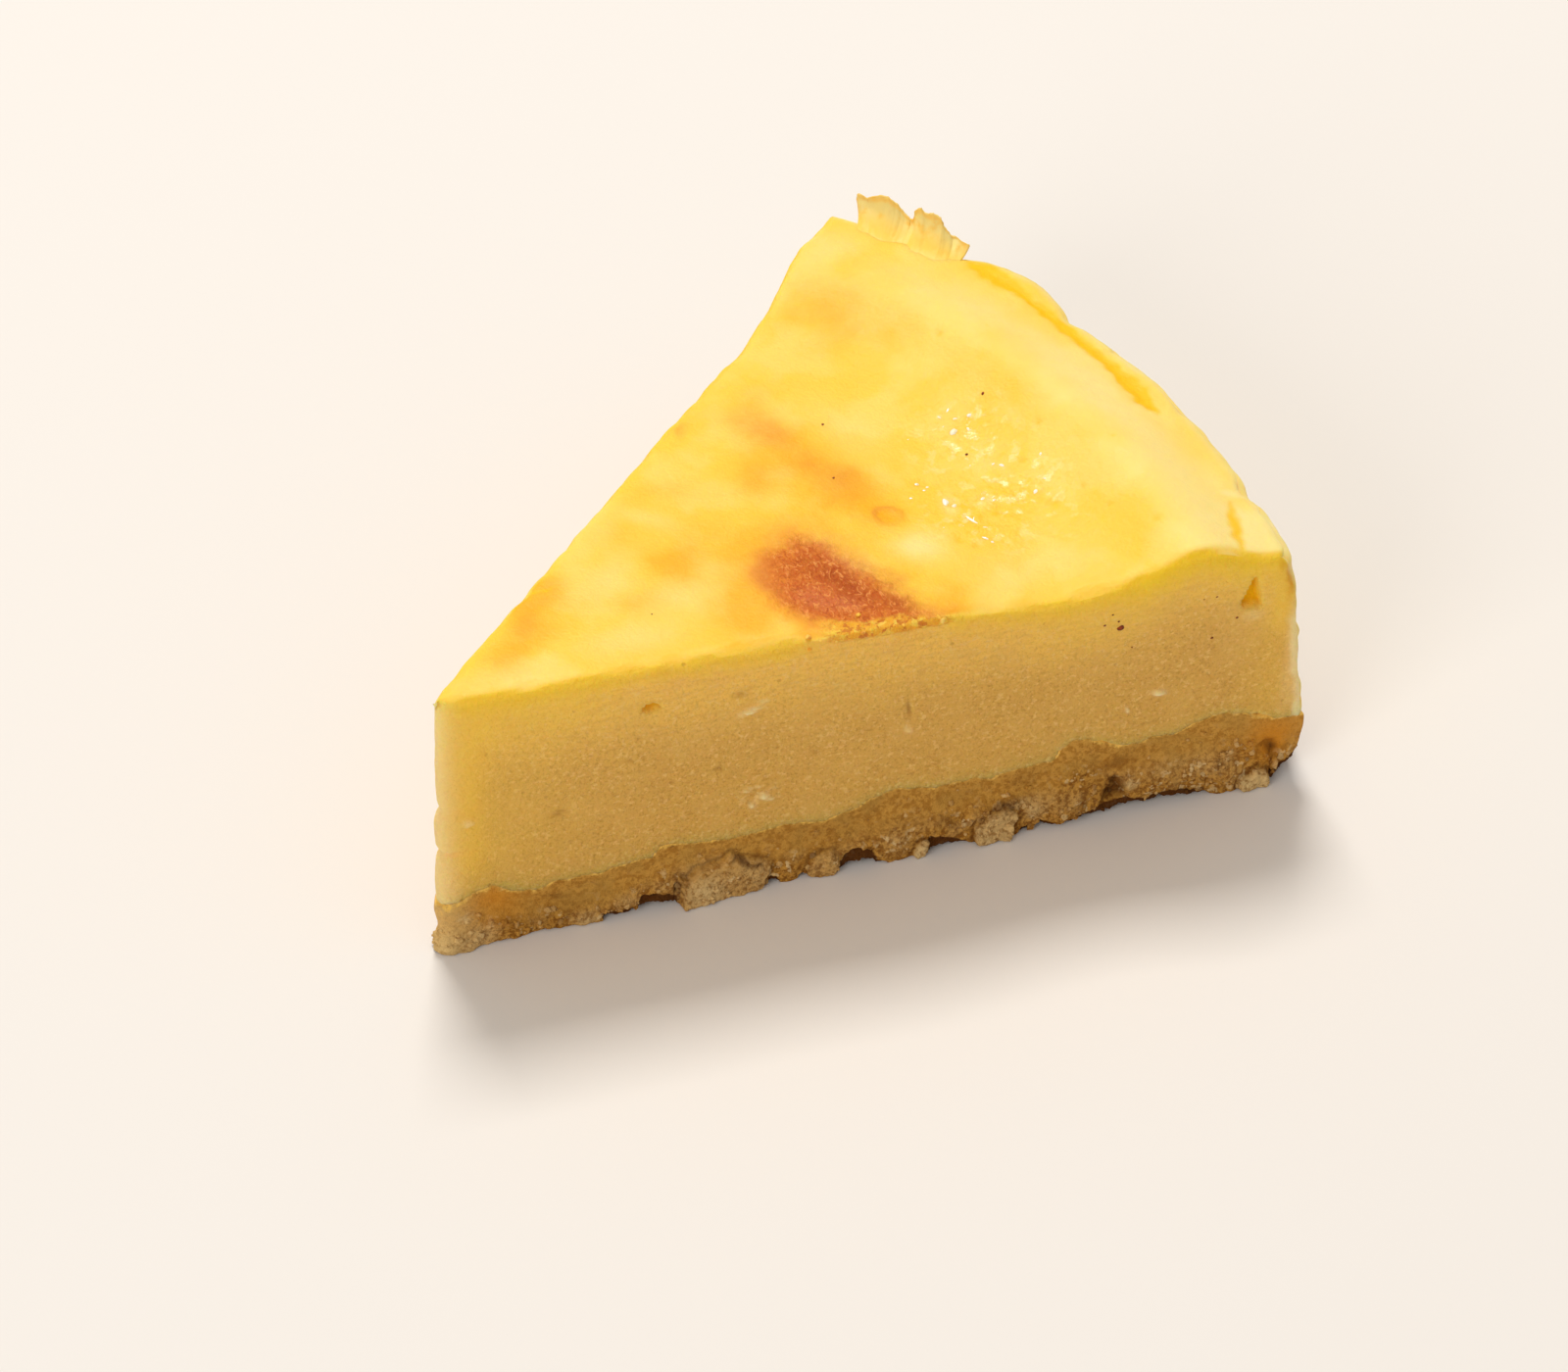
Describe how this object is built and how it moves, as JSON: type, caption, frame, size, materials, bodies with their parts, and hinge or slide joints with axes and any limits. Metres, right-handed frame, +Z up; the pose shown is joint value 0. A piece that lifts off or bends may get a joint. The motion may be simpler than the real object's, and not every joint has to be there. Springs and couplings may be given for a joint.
{
  "type": "cheesecake slice",
  "caption": "Wedge of baked cheesecake: smooth set filling with a sagging browned top on a pressed, crumbly biscuit base.",
  "frame": {"origin": "middle of the slice's bounding box, on the underside that it rests on", "axes": "+X runs from the point of the slice to the outer rim of the cake, +Z up; the cut seen in the picture faces -Y"},
  "size_m": [0.1018, 0.0824, 0.038],
  "materials": {
    "set_filling": "moist, smooth baked cream cheese, satin, slightly translucent, browned in patches on top",
    "baked_biscuit": "pressed biscuit crumb with butter, rough and broken at the cuts, matt"
  },
  "bodies": {
    "root": {"filling": "set_filling", "biscuit_base": "baked_biscuit"}
  },
  "joints": []
}
